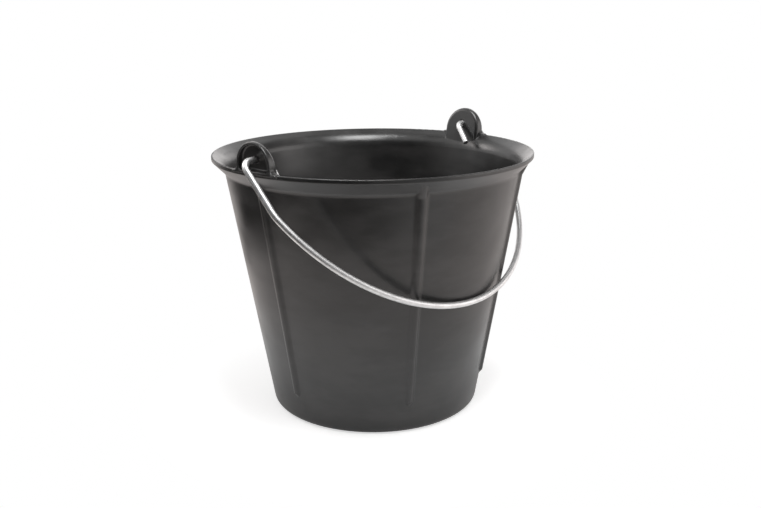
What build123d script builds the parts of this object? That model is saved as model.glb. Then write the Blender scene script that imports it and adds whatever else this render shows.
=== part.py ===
from build123d import *
import math
import os

# A one-piece moulded plastic bucket with a round-wire bail hooked through its two ears.
# Millimetres. Origin at the middle of the base, +Z up, +X along the bail's hinge axis.

# Wall and base
base_radius = 106.3        # outside of the wall, carried straight down to the floor
wall_angle = 9.6           # lean of the wall from upright, degrees
wall_thickness = 2.8
lip_height = 261.0         # floor to the top of the lip
base_thickness = 3.2
corner_radius = 7.0        # outside corner between wall and base
recess_radius = 80.0       # raised middle of the underside
recess_depth = 4.0
recess_slope = 45.0        # step round the raised middle, degrees
recess_round = 2.0         # easing of that step

# Rolled-out rim
flare_drop = 17.0          # top of the lip down to the bend between wall and flare
lip_overhang = 12.6        # lip edge beyond the wall at that height
lip_edge = 4.4             # upright edge of the lip
lip_round = 0.7
flare_bend = 7.0           # outside of the bend
flare_inner_drop = 9.2     # top of the lip down to the bend on the inside
flare_inner_bend = 18.0    # inside of the bend

# Ribs down the outside of the wall
rib_count = 6
rib_turn = -2.0            # first rib round from the middle of the ear, degrees
rib_top_width = 16.5
rib_foot_width = 12.0
rib_rise = 2.8             # crest above the wall
rib_head = 16.0            # top of the rib that grows out under the flare
rib_head_rise = 8.0        # its crest at the lip
rib_root = 1.0             # depth of the root below the outside of the wall
rib_sink = 0.3             # edge of the flank below the outside of the wall
rib_foot_height = 34.0     # floor to the bottom of the full section
rib_runout = 5.0           # sloped end below it
rib_end_width = 5.0

# Ears moulded on the rim
ear_width = 43.2
ear_side = 5.1             # upright side of the arch above the lip, below its round top
ear_proud = 0.8            # flat outer face past the edge of the lip
ear_top_thickness = 5.5
ear_draft = 12.0           # lean of the inner face, degrees
ear_round = 1.2            # outer edge of the arch
ear_inner_round = 3.3      # inner edge of the arch
pad_depth = 2.4            # outer face below the top of the lip
foot_round = 3.8           # hollow between arch and foot
foot_flat = 0.2            # level top of the foot
foot_end_round = 3.0       # end of the foot
foot_height = 0.3          # top of the foot above the lip
foot_inset = 5.0           # foot set back from the inner face
hood_wall = 2.6            # arch to the hollow in the outer face
web_thickness = 3.2        # inner face to the floor of the hollow
hollow_round = 1.6         # corner round that floor
sill_height = 0.4          # bottom of the hollow above the lip
sill_round = 3.0

# Bail
wire_radius = 3.0
hinge_rise = 10.5          # hinge axis above the lip
hole_clearance = 0.4       # between wire and ear, all round
side_play = 1.5            # outer bend away from the ear's outer face
outer_bend_radius = 10.5
hook_clearance = 0.5       # hook's bend away from the ear's inner face, below the hole
hook_bend_radius = 9.0
hook_angle = 73.0          # turn of the hook, degrees
hook_tail = 20.0           # straight end of the hook
left_hook_turn = 22.0      # left hook hangs steeper than the right one, degrees
bail_reach = 33.0          # middle of the bail past the lip when it lies level
bail_crown = 5.5           # bow's radius over half the span of the legs
knee_radius = 35.0         # bend between leg and bow
rest_gap = 0.35            # wire to wall where the bail lies against the bucket
tip_round = 0.8

lean = math.radians(wall_angle)
wall_direction = (math.sin(lean), math.cos(lean))
flare_height = lip_height - flare_drop
flare_slope = lip_overhang / (flare_drop - lip_edge)


def wall_radius(height):
    """Outside radius of the straight wall at a height."""
    return base_radius + height * math.tan(lean)


lip_radius = wall_radius(flare_height) + lip_overhang
foot_top = lip_height + foot_height
ear_spring = lip_height + ear_side
ear_top = ear_spring + ear_width / 2
ear_outer = lip_radius + ear_proud
hinge_height = lip_height + hinge_rise


def ear_inner(height):
    """Distance of the ear's leaning inner face from the bucket's axis at a height."""
    return ear_outer - ear_top_thickness - (ear_top - height) * math.tan(math.radians(ear_draft))


def rim_edge(share):
    """End of the flare in section, a share of the rim's thickness up from its underside."""
    return (lip_radius, lip_height - (1 - share) * lip_edge)


def rim_bend(share):
    """Corner between wall and flare in section, a share of the thickness in from the outside."""
    inset = share * wall_thickness / math.cos(lean)
    run = base_radius - inset - lip_radius + flare_slope * rim_edge(share)[1]
    height = run / (flare_slope - math.tan(lean))
    return (wall_radius(height) - inset, height)


def eased(face, point, radius):
    """The face with the corner nearest to a point rounded."""
    corner = face.vertices().sort_by_distance((*point, 0))[0]
    return fillet(corner, radius)


def shell():
    """Base, wall and the thicker rim as one turned section, its seam between two ribs."""
    slope = math.radians(recess_slope)
    floor_height = recess_depth + base_thickness
    foot_radius = recess_radius + recess_depth / math.tan(slope)
    shift = base_thickness * math.tan(slope / 2)
    inset = wall_thickness / math.cos(lean)
    inner_corner = (wall_radius(base_thickness) - inset, base_thickness)
    bend_height = lip_height - flare_inner_drop
    inner_bend = (wall_radius(bend_height) - inset, bend_height)
    outer_corner = (base_radius, 0)
    under_step = [(recess_radius, recess_depth), (foot_radius, 0)]
    floor_step = [(foot_radius + shift, base_thickness), (recess_radius + shift, floor_height)]
    outline = Polyline(
        (0, recess_depth),
        *under_step,
        outer_corner,
        rim_bend(0),
        rim_edge(0),
        rim_edge(1),
        inner_bend,
        inner_corner,
        *floor_step,
        (0, floor_height),
        close=True,
    )
    section = make_face(outline)
    section = eased(section, outer_corner, corner_radius)
    section = eased(section, inner_corner, max(corner_radius - wall_thickness, lip_round))
    for point in under_step + floor_step:
        section = eased(section, point, recess_round)
    section = eased(section, rim_bend(0), flare_bend)
    section = eased(section, inner_bend, flare_inner_bend)
    for share in (0, 1):
        section = eased(section, rim_edge(share), lip_round)
    between_ribs = 180 / rib_count
    return Rot(0, 0, between_ribs) * revolve(Plane.XZ * section, Axis.Z)


def space_within():
    """Everything inside the middle of the wall's thickness, up to the lip."""
    foot = (base_radius - wall_thickness / 2 / math.cos(lean), 0)
    outline = Polyline(
        (0, 0),
        foot,
        rim_bend(0.5),
        rim_edge(0.5),
        rim_edge(1),
        (0, lip_height),
        close=True,
    )
    between_ribs = 180 / rib_count
    return Rot(0, 0, between_ribs) * revolve(Plane.XZ * make_face(outline), Axis.Z)


def rib_section(height, width, crest):
    """Bell-shaped section of a rib, square to the wall at a height."""
    half = width / 2
    middle = (crest - rib_sink) / 2
    flank = TangentArc((half, -rib_sink), (half / 2, middle), tangent=(-1, 0))
    outline = [
        flank,
        ThreePointArc((half / 2, middle), (0, crest), (-half / 2, middle)),
        mirror(flank, Plane.YZ),
        Polyline((-half, -rib_sink), (-half, -rib_root), (half, -rib_root), (half, -rib_sink)),
    ]
    across = Plane(
        origin=(wall_radius(height), 0, height),
        x_dir=(0, -1, 0),
        z_dir=(wall_direction[0], 0, wall_direction[1]),
    )
    return across * make_face(outline)


def rib():
    """Rib down the wall on the +X side, with a head under the flare and a sloped end above the base."""
    head_top = lip_height - lip_edge
    sections = [
        rib_section(head_top, rib_top_width, rib_head_rise),
        rib_section(head_top - rib_head, rib_top_width, rib_rise),
        rib_section(rib_foot_height, rib_foot_width, rib_rise),
        rib_section(rib_foot_height - rib_runout, rib_end_width, 0),
    ]
    return loft(sections, ruled=True)


def arch(width, foot, spring):
    """Flat outline with a round top: local x across the ear, local y up."""
    height = spring + width / 2 - foot
    tall = Pos(0, spring) * Circle(width / 2) + Pos(0, spring - height) * Rectangle(width, 2 * height)
    return tall & Pos(0, foot + height / 2) * Rectangle(width, height)


def between_faces(outline, inset):
    """An outline's block from the ear's leaning inner face, moved out by an inset, to its outer face."""
    low = flare_height
    high = ear_top + ear_width
    shift = inset / math.cos(math.radians(ear_draft))
    side_view = Polyline(
        (ear_inner(low) + shift, low),
        (ear_outer, low),
        (ear_outer, high),
        (ear_inner(high) + shift, high),
        close=True,
    )
    block = extrude(Plane.YZ.offset(ear_inner(low)) * outline, ear_outer - ear_inner(low))
    return block & extrude(Plane.XZ * make_face(side_view), 2 * ear_width, both=True)


def above_lip(face):
    """Edges of a face that lie above the lip all along."""
    return [edge for edge in face.edges() if edge.bounding_box().min.Z > lip_height]


def ear_block():
    """Ear on the +X side before it is hollowed: upright outside, leaning inside, flared foot."""
    half = ear_width / 2
    foot_half = half + foot_round + foot_flat + foot_end_round
    foot_middle = (flare_height + foot_top) / 2
    plain = arch(ear_width, flare_height, ear_spring)
    footed = plain + Pos(0, foot_middle) * Rectangle(2 * foot_half, foot_top - flare_height)
    for side in (-1, 1):
        footed = eased(footed, (side * half, foot_top), foot_round)
        footed = eased(footed, (side * foot_half, foot_top), foot_end_round)
    block = between_faces(plain, 0) + between_faces(footed, foot_inset)
    block = fillet(above_lip(block.faces().sort_by(Axis.X)[-1]), ear_round)
    inner_face = block.faces().sort_by(Axis.X)[0]
    return fillet(inner_face.edges().sort_by(Axis.Z)[1:], ear_inner_round)


def hollow():
    """Space in the ear's outer face, down to the web that carries the bail."""
    outline = arch(ear_width - 2 * hood_wall, lip_height + sill_height, ear_spring)
    outline = offset(offset(outline, -sill_round), sill_round)
    space = between_faces(outline, web_thickness)
    floor = space.faces().sort_by(Axis.X)[0]
    return fillet(floor.edges(), hollow_round)


def ear():
    """Ear on the +X side: a hood with its hollow and the hole for the bail."""
    root = ear_inner(flare_height)
    bore = Pos(0, hinge_height) * Circle(wire_radius + hole_clearance)
    return ear_block() - hollow() - extrude(Plane.YZ.offset(root) * bore, ear_outer - root)


def bucket_body():
    """The whole moulding."""
    within = space_within()
    body = shell()
    wall_rib = rib() - within
    for index in range(rib_count):
        body += Rot(0, 0, rib_turn + index * 360 / rib_count) * wall_rib
    pad_foot = lip_height - pad_depth
    above = Pos(0, 0, pad_foot) * Cylinder(
        ear_outer + ear_width,
        ear_top - pad_foot + ear_round,
        align=(Align.CENTER, Align.CENTER, Align.MIN),
    )
    rim_ear = ear() & (within + above)
    for turn in (0, 180):
        body += Rot(0, 0, turn) * rim_ear
    return body


def bail_handle():
    """Round wire, bent in one plane but for its left hook, lying against the wall on the -Y side."""
    leg = ear_outer + side_play + outer_bend_radius
    bow_radius = leg + bail_crown
    drop = lip_radius + bail_reach
    bow_centre = drop - bow_radius
    knee_in = leg - knee_radius
    knee_up = math.sqrt((bow_radius - knee_radius) ** 2 - knee_in ** 2)
    knee_turn = math.degrees(math.atan2(knee_up, knee_in))
    below_hole = hinge_height - wire_radius - hole_clearance
    hook_start = ear_inner(below_hole) - hook_clearance

    bow = CenterArc((0, bow_centre), bow_radius, knee_turn, 180 - 2 * knee_turn)
    knee = CenterArc((knee_in, bow_centre + knee_up), knee_radius, 0, knee_turn)
    outer_bend = CenterArc((leg - outer_bend_radius, outer_bend_radius), outer_bend_radius, -90, 90)
    straight = Line(outer_bend @ 1, knee @ 0)
    hinge = Line((hook_start, 0), outer_bend @ 0)
    hook = CenterArc((hook_start, hook_bend_radius), hook_bend_radius, -90, -hook_angle)
    tail = Line(hook @ 1, hook @ 1 + (hook % 1) * hook_tail)
    hooked_end = [tail, hook]
    run = [hinge, outer_bend, straight, knee]
    left_end = [Rot(left_hook_turn, 0, 0) * edge.mirror(Plane.YZ) for edge in hooked_end]
    path = Wire(hooked_end + run + [bow] + [edge.mirror(Plane.YZ) for edge in run] + left_end)

    against_wall = wall_radius(hinge_height) * math.cos(lean) + wire_radius + rest_gap
    tilt = math.asin(against_wall / drop) - lean
    plane = Plane(
        origin=(0, 0, hinge_height),
        x_dir=(1, 0, 0),
        z_dir=(0, math.cos(tilt), -math.sin(tilt)),
    )
    path = plane * path
    wire = sweep(Plane(path @ 0, z_dir=path % 0) * Circle(wire_radius), path)
    tips = wire.faces().filter_by(GeomType.PLANE).edges()
    print(f"bail lies {math.degrees(tilt):.2f} degrees from hanging straight down")
    return fillet(tips, tip_round)


os.makedirs("parts", exist_ok=True)
export_step(bucket_body(), "parts/bucket_body.step")
export_step(bail_handle(), "parts/bail_handle.step")
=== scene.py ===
import math

import bpy
from mathutils import Matrix, Vector


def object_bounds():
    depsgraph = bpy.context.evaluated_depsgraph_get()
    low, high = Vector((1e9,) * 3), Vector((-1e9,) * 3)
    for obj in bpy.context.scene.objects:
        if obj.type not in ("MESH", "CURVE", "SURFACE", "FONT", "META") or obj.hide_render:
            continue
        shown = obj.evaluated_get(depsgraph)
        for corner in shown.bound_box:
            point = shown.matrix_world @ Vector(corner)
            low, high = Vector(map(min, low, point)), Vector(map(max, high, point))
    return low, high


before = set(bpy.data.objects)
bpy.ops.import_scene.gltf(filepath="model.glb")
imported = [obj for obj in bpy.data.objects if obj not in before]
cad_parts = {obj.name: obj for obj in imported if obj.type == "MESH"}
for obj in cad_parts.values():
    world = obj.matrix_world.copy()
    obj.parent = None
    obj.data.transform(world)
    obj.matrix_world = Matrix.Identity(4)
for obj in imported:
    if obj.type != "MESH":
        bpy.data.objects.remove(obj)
cad_low, cad_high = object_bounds()

# A black moulded builders bucket with a galvanised wire bail, on a white studio floor.
# Metres and degrees. The row frame is the bucket's own: +Z up, +X through both ears.
# A place in the studio is (right, away, height), as the photographer sees it.

# Camera of the photo, and how far the bucket is turned in front of it
IMAGE_WIDTH_PX = 761
FOCAL_PX = 930.6
SENSOR_MM = 36.0
CAMERA_DISTANCE = 0.929
CAMERA_HEIGHT = 0.4079
CAMERA_LEVEL = 90.0
CAMERA_PAN = 0.425
CAMERA_TILT = -15.41
CAMERA_ROLL = -0.50
BUCKET_TURN = 48.8

# Black polyethylene: its tones, and how strongly rubbing and dust show in them
PLASTIC_CLEAN = (0.0110, 0.0109, 0.0108, 1.0)
PLASTIC_HANDLED = (0.0290, 0.0278, 0.0273, 1.0)
PLASTIC_RUBBED = (0.08, 0.078, 0.076, 1.0)
PLASTIC_DUSTY = (0.20, 0.19, 0.18, 1.0)
PLASTIC_RUB_SHOWS = 0.12
PLASTIC_DUST_SHOWS = 0.04

# Black polyethylene: roughness of the satin surface, and what film, dust and rubbing add to it
PLASTIC_DRIFT_SCALE = 34.0
PLASTIC_DRIFT_SPAN = (0.3, 0.7)
PLASTIC_SATIN = (0.28, 0.32)
PLASTIC_FILM_DULLS = 0.06
PLASTIC_DUST_DULLS = 0.08
PLASTIC_RUB_DULLS = 0.25
PLASTIC_IOR = 1.54
PLASTIC_SPECULAR = 0.64

# Black polyethylene: soft edges, level ripples and grain; the blotches of the film lie level too
EDGE_SOFTNESS = 0.0020
EDGE_SAMPLES = 8
RIPPLE_STRETCH = (0.7, 0.7, 1.0)
RIPPLE_SCALE = 20.0
RIPPLE_DETAIL = 1.5
RIPPLE_ROUGHNESS = 0.4
RIPPLE_DEPTH = 0.0020
PLASTIC_GRAIN_SCALE = 1500.0
PLASTIC_GRAIN_DEPTH = 0.000005
PLASTIC_BLOTCH_STRETCH = (0.38, 0.38, 1.0)
PLASTIC_BLOTCH_SCALE = 36.0

# Galvanised wire: tones of the zinc, how strongly film and dust show in them, roughness and relief
ZINC_GREY = (0.76, 0.762, 0.764, 1.0)
ZINC_BRIGHT = (0.86, 0.86, 0.857, 1.0)
ZINC_HANDLED = (0.60, 0.602, 0.605, 1.0)
ZINC_DUSTY = (0.45, 0.43, 0.40, 1.0)
ZINC_FILM_SHOWS = 0.30
ZINC_DUST_SHOWS = 0.15
ZINC_GLOSS = (0.42, 0.47)
ZINC_FILM_DULLS = 0.07
ZINC_BLOTCH_SCALE = 110.0
ZINC_GRAIN_SCALE = 2600.0
ZINC_GRAIN_DEPTH = 0.00003
SPANGLE_SCALE = 420.0
SPANGLE_SMOOTHNESS = 0.4

# Wear on edges: its width, how far an edge turns to be rubbed, and how patches break it up
WEAR_WIDTH = 0.0016
WEAR_SAMPLES = 6
WEAR_TURN = (0.01, 0.12)
WEAR_SCALE = 70.0
WEAR_DETAIL = 3.0
WEAR_PATCHES = (0.30, 0.60)
WEAR_LEFT = (0.4, 1.0)

# Grain, film and dust, on the plastic and on the wire
GRAIN_DETAIL = 3.0
FILM_DETAIL = 3.0
FILM_ROUGHNESS = 0.55
FILM_PATCHES = (0.36, 0.66)
DUST_FACES_UP = (0.35, 0.95)
DUST_SCALE = 48.0
DUST_DETAIL = 5.0
DUST_ROUGHNESS = 0.65
DUST_PATCHES = (0.42, 0.72)

# White paper on the floor. Between the two distances of PAPER_CLEARS it turns plain white, and
# between those of PAINTED_WARM_REFLECTION_SPAN its reflection in the bucket turns warm: a painted warm
# tint.
FLOOR_SIZE = 12.0
FLOOR_DROP = 0.0002
PAPER_TONE = (0.82, 0.82, 0.82, 1.0)
PAPER_FIBRE = 0.985
PAPER_FIBRE_SCALE = 60.0
PAPER_FIBRE_DETAIL = 3.0
PAPER_LIFT = 0.60
PAPER_GLOSS_LIFT = 0.25
PAPER_CLEARS = (0.11, 0.25)
PAINTED_WARM_REFLECTION_SPAN = (0.14, 0.40)
PAINTED_WARM_REFLECTION = (1.0, 0.93, 0.90, 1.0)

# White all round, at full strength where it is seen and weaker as a light
WHITE = (1.0, 1.0, 1.0, 1.0)
SKY_LIGHT = 0.36

# Dark cloth on the floor and up the wall, in front and to the left. Its angles go from the front, 0,
# to the left, 90. It is black to the left of the first angle of CLOTH_FADE and pale at the second.
CLOTH_CENTRE = (-0.03, 0.11)
CLOTH_WALL = 1.75
CLOTH_LIFT = 0.003
CLOTH_STEPS = 24
CLOTH_TONE = (0.012, 0.012, 0.012, 1.0)
CLOTH_FADE = (8, -50)
CLOTHS = {
    "dark_front": {"start": -50, "end": 64, "near": 0.545, "height": 2.0},
    "dark_left": {"start": 64, "end": 122, "near": 0.44, "height": 0.4},
}

# Strip of grey ceiling that the right side of the bail mirrors
CEILING_TONE = (0.27, 0.27, 0.27, 1.0)
CEILING_PATCHES = 1.2
CEILING_PATCH_SCALE = 2.0
CEILING_PLACE = (2.4, 0.72, 1.75)
CEILING_SIZE = (6.6, 2.2)
CEILING_TURN = 25.0

# Softboxes
WHITE_LIGHT = (1.0, 1.0, 1.0)
WARM_LIGHT = (1.0, 0.94, 0.92)
SOFTBOXES = {
    "top_softbox": {"place": (0.11, -0.30, 1.34), "size": (0.44, 0.60), "watts": 11.8, "tint": WHITE_LIGHT},
    "right_softbox": {"place": (1.30, -0.10, 0.55), "size": (1.0, 0.9), "watts": 3.5, "tint": WARM_LIGHT},
    "left_softbox": {"place": (-1.25, 0.55, 1.00), "size": (0.6, 0.5), "watts": 4.8, "tint": WARM_LIGHT},
    "back_softbox": {"place": (0.0, 1.60, 0.55), "size": (1.6, 0.5), "watts": 2.8, "tint": WARM_LIGHT},
}

# From nothing to all of a mask
WHOLE = (0.0, 1.0)


def studio(right, away, height):
    """A place in the studio, in the row frame."""
    return Matrix.Rotation(math.radians(-BUCKET_TURN), 3, "Z") @ Vector((right, away, height))


def shaded(tone, factor):
    """A tone made paler or darker."""
    red, green, blue, alpha = tone
    return (factor * red, factor * green, factor * blue, alpha)


def feed(tree, value, socket):
    """Links another node's socket to this one, or sets a number or colour on it."""
    if isinstance(value, bpy.types.NodeSocket):
        tree.links.new(value, socket)
    else:
        socket.default_value = value


def node(tree, kind, inputs=None, **settings):
    """A new shader node with its settings, and with what feeds its inputs, by name or number."""
    made = tree.nodes.new(kind)
    for name, value in settings.items():
        setattr(made, name, value)
    for name, value in (inputs or {}).items():
        feed(tree, value, made.inputs[name])
    return made


def stretch(tree, value, span, to=WHOLE):
    """The value, with one span mapped smoothly to another and clamped to it."""
    ends = {"From Min": span[0], "From Max": span[1], "To Min": to[0], "To Max": to[1]}
    ramp = node(tree, "ShaderNodeMapRange", {"Value": value, **ends}, interpolation_type="SMOOTHSTEP")
    return ramp.outputs["Result"]


def noise(tree, vector, scale, detail=2.0, roughness=0.5):
    """Cloudy noise from 0 to 1."""
    inputs = {"Vector": vector, "Scale": scale, "Detail": detail, "Roughness": roughness}
    return node(tree, "ShaderNodeTexNoise", inputs).outputs["Fac"]


def scaled(tree, vector, scale):
    """The vector times a scale for each axis: a pattern gets longer where the scale is small."""
    return node(tree, "ShaderNodeMapping", {"Vector": vector, "Scale": scale}).outputs["Vector"]


def axes(tree, vector):
    """The X, Y and Z of a vector."""
    return node(tree, "ShaderNodeSeparateXYZ", {"Vector": vector}).outputs


def maths(tree, operation, first, second):
    """One operation on two values or sockets."""
    return node(tree, "ShaderNodeMath", {0: first, 1: second}, operation=operation).outputs["Value"]


def blended(tree, mask, first, second):
    """Colour that goes from the first to the second with the mask."""
    made = node(tree, "ShaderNodeMix", {"Factor": mask}, data_type="RGBA")
    colours = [socket for socket in made.inputs if socket.type == "RGBA"]
    for socket, value in zip(colours, (first, second)):
        feed(tree, value, socket)
    return next(socket for socket in made.outputs if socket.type == "RGBA")


def tinted(tree, colour, mask, share, tone):
    """The colour, with a share of another tone over it where the mask is."""
    return blended(tree, maths(tree, "MULTIPLY", mask, share), colour, tone)


def dulled(tree, roughness, mask, amount):
    """The roughness, with an amount added where the mask is."""
    return maths(tree, "ADD", roughness, maths(tree, "MULTIPLY", mask, amount))


def bumped(tree, height, depth, under=None):
    """Normal of a relief with a depth in metres, laid over another normal where one is given."""
    made = node(tree, "ShaderNodeBump", {"Height": height, "Distance": depth})
    if under is not None:
        feed(tree, under, made.inputs["Normal"])
    return made.outputs["Normal"]


def group_of(name, numbers, outputs):
    """An empty node group, read at a Vector and with named numbers: its tree, inputs and outputs."""
    tree = bpy.data.node_groups.new(name, "ShaderNodeTree")
    tree.interface.new_socket("Vector", in_out="INPUT", socket_type="NodeSocketVector")
    for label in numbers:
        tree.interface.new_socket(label, in_out="INPUT", socket_type="NodeSocketFloat")
    for label in outputs:
        tree.interface.new_socket(label, in_out="OUTPUT", socket_type="NodeSocketFloat")
    given = tree.nodes.new("NodeGroupInput").outputs
    out = tree.nodes.new("NodeGroupOutput").inputs
    return tree, given, out


def worn_edges_group():
    """Mask of edges and corners that hands and other buckets rub, broken up into patches."""
    tree, given, out = group_of("worn_edges", ["Patches"], ["Mask"])
    rounded = node(tree, "ShaderNodeBevel", {"Radius": WEAR_WIDTH}, samples=WEAR_SAMPLES)
    surface = tree.nodes.new("ShaderNodeNewGeometry")
    normals = {0: rounded.outputs["Normal"], 1: surface.outputs["Normal"]}
    match = node(tree, "ShaderNodeVectorMath", normals, operation="DOT_PRODUCT")
    turned = maths(tree, "SUBTRACT", 1.0, match.outputs["Value"])
    patches = noise(tree, given["Vector"], given["Patches"], WEAR_DETAIL)
    left = stretch(tree, patches, WEAR_PATCHES, WEAR_LEFT)
    feed(tree, maths(tree, "MULTIPLY", stretch(tree, turned, WEAR_TURN), left), out["Mask"])
    return tree


def fine_grain_group():
    """Even fine grain as a height, and a slow drift of the gloss."""
    tree, given, out = group_of("fine_grain", ["Grain", "Drift"], ["Height", "Gloss"])
    for scale, wanted in (("Grain", "Height"), ("Drift", "Gloss")):
        feed(tree, noise(tree, given["Vector"], given[scale], GRAIN_DETAIL), out[wanted])
    return tree


def handling_film_group():
    """Mask of soft blotches where the surface was handled or wiped."""
    tree, given, out = group_of("handling_film", ["Blotches"], ["Mask"])
    cloud = noise(tree, given["Vector"], given["Blotches"], FILM_DETAIL, FILM_ROUGHNESS)
    feed(tree, stretch(tree, cloud, FILM_PATCHES), out["Mask"])
    return tree


def settled_dust_group():
    """Mask of pale dust that settles on what faces up."""
    tree, given, out = group_of("settled_dust", [], ["Mask"])
    surface = tree.nodes.new("ShaderNodeNewGeometry")
    facing_up = stretch(tree, axes(tree, surface.outputs["Normal"])["Z"], DUST_FACES_UP)
    cloud = noise(tree, given["Vector"], DUST_SCALE, DUST_DETAIL, DUST_ROUGHNESS)
    feed(tree, maths(tree, "MULTIPLY", facing_up, stretch(tree, cloud, DUST_PATCHES)), out["Mask"])
    return tree


GROUPS = {
    "worn_edges": worn_edges_group(),
    "fine_grain": fine_grain_group(),
    "handling_film": handling_film_group(),
    "settled_dust": settled_dust_group(),
}


def placed(tree, name, vector, **values):
    """One of the groups in a material, read at a vector, with its own values."""
    return node(tree, "ShaderNodeGroup", {"Vector": vector, **values}, node_tree=GROUPS[name]).outputs


def material(name):
    """A new node material: its tree, its Principled BSDF and its Object coordinates."""
    made = bpy.data.materials.new(name)
    made.use_nodes = True
    tree = made.node_tree
    place = tree.nodes.new("ShaderNodeTexCoord").outputs["Object"]
    return made, tree, tree.nodes["Principled BSDF"], place


def moulded_plastic():
    """Black polyethylene as it leaves the mould: satin, softly rippled, lightly rubbed."""
    made, tree, shader, place = material("black_moulded_polyethylene")
    grain = placed(tree, "fine_grain", place, Grain=PLASTIC_GRAIN_SCALE, Drift=PLASTIC_DRIFT_SCALE)
    rub = placed(tree, "worn_edges", place, Patches=WEAR_SCALE)
    blotch_place = scaled(tree, place, PLASTIC_BLOTCH_STRETCH)
    film = placed(tree, "handling_film", blotch_place, Blotches=PLASTIC_BLOTCH_SCALE)
    dust = placed(tree, "settled_dust", place)

    body = blended(tree, film["Mask"], PLASTIC_CLEAN, PLASTIC_HANDLED)
    body = tinted(tree, body, rub["Mask"], PLASTIC_RUB_SHOWS, PLASTIC_RUBBED)
    body = tinted(tree, body, dust["Mask"], PLASTIC_DUST_SHOWS, PLASTIC_DUSTY)
    feed(tree, body, shader.inputs["Base Color"])

    satin = stretch(tree, grain["Gloss"], PLASTIC_DRIFT_SPAN, PLASTIC_SATIN)
    satin = dulled(tree, satin, film["Mask"], PLASTIC_FILM_DULLS)
    satin = dulled(tree, satin, dust["Mask"], PLASTIC_DUST_DULLS)
    satin = dulled(tree, satin, rub["Mask"], PLASTIC_RUB_DULLS)
    feed(tree, satin, shader.inputs["Roughness"])
    shader.inputs["IOR"].default_value = PLASTIC_IOR
    shader.inputs["Specular IOR Level"].default_value = PLASTIC_SPECULAR

    # Ripples lie level round the wall, where the melt cooled in rings
    softened = node(tree, "ShaderNodeBevel", {"Radius": EDGE_SOFTNESS}, samples=EDGE_SAMPLES)
    ripple_place = scaled(tree, place, RIPPLE_STRETCH)
    ripple = noise(tree, ripple_place, RIPPLE_SCALE, RIPPLE_DETAIL, RIPPLE_ROUGHNESS)
    rippled = bumped(tree, ripple, RIPPLE_DEPTH, softened.outputs["Normal"])
    feed(tree, bumped(tree, grain["Height"], PLASTIC_GRAIN_DEPTH, rippled), shader.inputs["Normal"])
    return made


def galvanised_wire():
    """Drawn steel wire with a bright zinc coat: fine spangle, a little dull where it was handled."""
    made, tree, shader, place = material("bright_galvanised_wire")
    grain = placed(tree, "fine_grain", place, Grain=ZINC_GRAIN_SCALE)
    film = placed(tree, "handling_film", place, Blotches=ZINC_BLOTCH_SCALE)
    dust = placed(tree, "settled_dust", place)
    pattern = {"Vector": place, "Scale": SPANGLE_SCALE, "Smoothness": SPANGLE_SMOOTHNESS}
    spangle = node(tree, "ShaderNodeTexVoronoi", pattern, feature="SMOOTH_F1")
    flake = axes(tree, spangle.outputs["Color"])

    zinc = blended(tree, flake["X"], ZINC_GREY, ZINC_BRIGHT)
    zinc = tinted(tree, zinc, film["Mask"], ZINC_FILM_SHOWS, ZINC_HANDLED)
    zinc = tinted(tree, zinc, dust["Mask"], ZINC_DUST_SHOWS, ZINC_DUSTY)
    feed(tree, zinc, shader.inputs["Base Color"])
    gloss = stretch(tree, flake["Y"], WHOLE, ZINC_GLOSS)
    feed(tree, dulled(tree, gloss, film["Mask"], ZINC_FILM_DULLS), shader.inputs["Roughness"])
    feed(tree, bumped(tree, grain["Height"], ZINC_GRAIN_DEPTH), shader.inputs["Normal"])
    shader.inputs["Metallic"].default_value = 1.0
    return made


def dress(name, finish):
    """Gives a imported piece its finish."""
    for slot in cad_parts[name].material_slots:
        slot.material = finish


def seen(tree, ray):
    """Mask of rays that show a background: to the camera, in a gloss and through glass."""
    shown = maths(tree, "MAXIMUM", ray["Is Camera Ray"], ray["Is Glossy Ray"])
    return maths(tree, "MAXIMUM", shown, ray["Is Transmission Ray"])


def studio_floor():
    """White paper that keeps the bucket's shadow and clears to plain white away from it."""
    made, tree, shader, place = material("studio_floor")
    tree.nodes.remove(shader)
    ray = tree.nodes.new("ShaderNodeLightPath").outputs
    distance = node(tree, "ShaderNodeVectorMath", {0: place}, operation="LENGTH").outputs["Value"]

    fibre = noise(tree, place, PAPER_FIBRE_SCALE, PAPER_FIBRE_DETAIL)
    tone = blended(tree, fibre, shaded(PAPER_TONE, PAPER_FIBRE), PAPER_TONE)
    paper = node(tree, "ShaderNodeBsdfDiffuse", {"Color": tone}).outputs["BSDF"]
    to_camera = maths(tree, "MULTIPLY", ray["Is Camera Ray"], PAPER_LIFT)
    to_gloss = maths(tree, "MULTIPLY", ray["Is Glossy Ray"], PAPER_GLOSS_LIFT)
    strength = maths(tree, "ADD", to_camera, to_gloss)
    lift = node(tree, "ShaderNodeEmission", {"Strength": strength}).outputs["Emission"]
    near = node(tree, "ShaderNodeAddShader", {0: paper, 1: lift}).outputs["Shader"]

    # Painted warm reflection: glossy rays see the paper turn warm further out, while the camera sees it
    # white
    painted_warm_share = maths(tree, "MULTIPLY", stretch(tree, distance, PAINTED_WARM_REFLECTION_SPAN), ray["Is Glossy Ray"])
    paper_white_with_painted_warmth = blended(tree, painted_warm_share, WHITE, PAINTED_WARM_REFLECTION)
    far = node(tree, "ShaderNodeEmission", {"Color": paper_white_with_painted_warmth, "Strength": 1.0}).outputs["Emission"]
    cleared = maths(tree, "MULTIPLY", stretch(tree, distance, PAPER_CLEARS), seen(tree, ray))
    whole = node(tree, "ShaderNodeMixShader", {"Fac": cleared, 1: near, 2: far}).outputs["Shader"]
    feed(tree, whole, tree.nodes["Material Output"].inputs["Surface"])
    return made


def make_matt(tree, shader, colour):
    """Gives a shader its colour and no gloss."""
    feed(tree, colour, shader.inputs["Base Color"])
    shader.inputs["Roughness"].default_value = 1.0
    shader.inputs["Specular IOR Level"].default_value = 0.0


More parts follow.
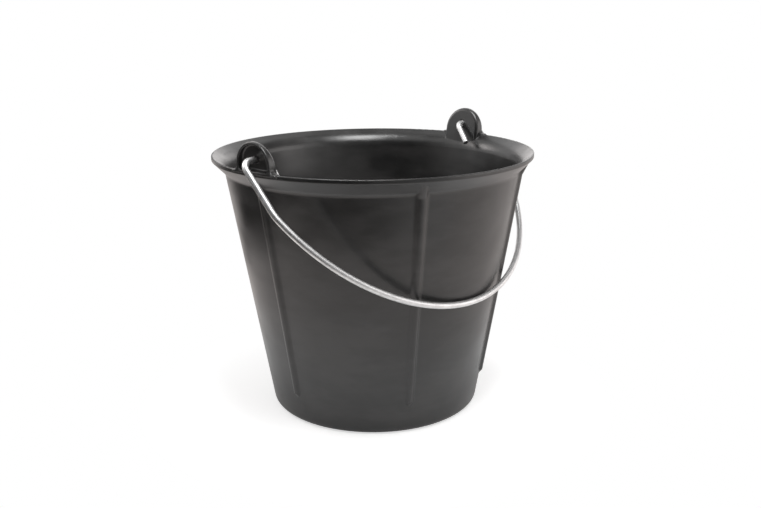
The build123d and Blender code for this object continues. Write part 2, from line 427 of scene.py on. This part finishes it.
def dark_cloth():
    """Black cloth, graded to the paper's tone at its right end."""
    made, tree, shader, place = material("dark_cloth")
    part = axes(tree, place)
    to_right = maths(tree, "ARCTAN2", part["X"], maths(tree, "MULTIPLY", part["Y"], -1.0))
    fade = stretch(tree, to_right, [math.radians(-angle) for angle in CLOTH_FADE])
    make_matt(tree, shader, blended(tree, fade, CLOTH_TONE, PAPER_TONE))
    return made


def grey_ceiling():
    """Grey ceiling, unevenly painted."""
    made, tree, shader, place = material("grey_ceiling")
    patches = noise(tree, place, CEILING_PATCH_SCALE)
    make_matt(tree, shader, blended(tree, patches, CEILING_TONE, shaded(CEILING_TONE, CEILING_PATCHES)))
    return made


def add_plane(name, size, place):
    """A flat square, selected alone."""
    bpy.ops.object.select_all(action="DESELECT")
    bpy.ops.mesh.primitive_plane_add(size=size, location=place)
    plane = bpy.context.object
    plane.name = name
    return plane


def only_in_reflections(thing):
    """Makes a piece of the room one that the camera doesn't see and that takes no light away."""
    thing.visible_camera = False
    thing.visible_diffuse = False
    thing.visible_shadow = False


def add_floor():
    """White paper just under the bucket."""
    floor = add_plane("studio_floor", FLOOR_SIZE, (0, 0, -FLOOR_DROP))
    floor.data.materials.append(studio_floor())


def add_cloth(name, finish, start, end, near, height):
    """A cloth from one angle to another: a line out along the floor and up the wall, spun round."""
    angle = math.radians(start)
    outwards = Vector((-math.sin(angle), -math.cos(angle), 0))
    up = Vector((0, 0, 1))
    cloth = add_plane(name, 1.0, (0, 0, 0))
    bpy.ops.object.mode_set(mode="EDIT")
    bpy.ops.mesh.select_all(action="SELECT")
    bpy.ops.mesh.merge(type="CENTER")
    bpy.ops.transform.translate(value=near * outwards + CLOTH_LIFT * up)
    for run in ((CLOTH_WALL - near) * outwards, (height - CLOTH_LIFT) * up):
        bpy.ops.mesh.extrude_vertices_move(TRANSFORM_OT_translate={"value": run})
    bpy.ops.mesh.select_all(action="SELECT")
    bpy.ops.mesh.spin(steps=CLOTH_STEPS, angle=math.radians(end - start), center=(0, 0, 0), axis=up)
    bpy.ops.object.mode_set(mode="OBJECT")
    cloth.location = studio(*CLOTH_CENTRE, 0)
    cloth.rotation_euler.z = math.radians(-BUCKET_TURN)
    cloth.data.materials.append(finish)
    only_in_reflections(cloth)


def add_cloths():
    """Dark cloth in front and to the left, beyond the white paper."""
    finish = dark_cloth()
    for name, shape in CLOTHS.items():
        add_cloth(name, finish, **shape)


def add_ceiling():
    """Strip of ceiling, from above the bucket out to the right and the back."""
    ceiling = add_plane("grey_ceiling", 1.0, studio(*CEILING_PLACE))
    ceiling.scale = (*CEILING_SIZE, 1.0)
    ceiling.rotation_euler.z = math.radians(CEILING_TURN - BUCKET_TURN)
    ceiling.data.materials.append(grey_ceiling())
    only_in_reflections(ceiling)


def add_softbox(name, place, size, watts, tint):
    """A softbox in the studio, turned to face the middle of the bucket."""
    stand = studio(*place)
    middle = Vector((0, 0, cad_high.z / 2))
    bpy.ops.object.light_add(type="AREA", location=stand)
    softbox = bpy.context.object
    softbox.name = name
    softbox.data.shape = "RECTANGLE"
    softbox.data.size, softbox.data.size_y = size
    softbox.data.energy = watts
    softbox.data.color = tint
    softbox.rotation_mode = "QUATERNION"
    softbox.rotation_quaternion = (middle - stand).to_track_quat("-Z", "Y")
    softbox.visible_camera = False


def set_world():
    """Plain soft light from all round, and a white background."""
    world = bpy.data.worlds.new("white_studio")
    bpy.context.scene.world = world
    world.use_nodes = True
    tree = world.node_tree
    ray = tree.nodes.new("ShaderNodeLightPath").outputs
    background = tree.nodes["Background"].inputs
    background["Color"].default_value = WHITE
    feed(tree, stretch(tree, seen(tree, ray), WHOLE, (SKY_LIGHT, 1.0)), background["Strength"])


def add_camera():
    """The photo's camera: panned from straight ahead, tilted down and rolled a little."""
    data = bpy.data.cameras.new("photo_camera")
    data.sensor_width = SENSOR_MM
    data.sensor_fit = "HORIZONTAL"
    data.lens = FOCAL_PX / IMAGE_WIDTH_PX * SENSOR_MM
    camera = bpy.data.objects.new("photo_camera", data)
    bpy.context.scene.collection.objects.link(camera)
    stand = Matrix.Translation(studio(0, -CAMERA_DISTANCE, CAMERA_HEIGHT))
    pan = Matrix.Rotation(math.radians(-BUCKET_TURN - CAMERA_PAN), 4, "Z")
    tilt = Matrix.Rotation(math.radians(CAMERA_LEVEL + CAMERA_TILT), 4, "X")
    roll = Matrix.Rotation(math.radians(CAMERA_ROLL), 4, "Z")
    camera.matrix_world = stand @ pan @ tilt @ roll
    bpy.context.scene.camera = camera


bpy.context.scene.view_settings.view_transform = "Standard"
dress("bucket_body", moulded_plastic())
dress("bail_handle", galvanised_wire())
add_floor()
add_cloths()
add_ceiling()
for softbox_name, softbox_values in SOFTBOXES.items():
    add_softbox(softbox_name, **softbox_values)
set_world()
add_camera()
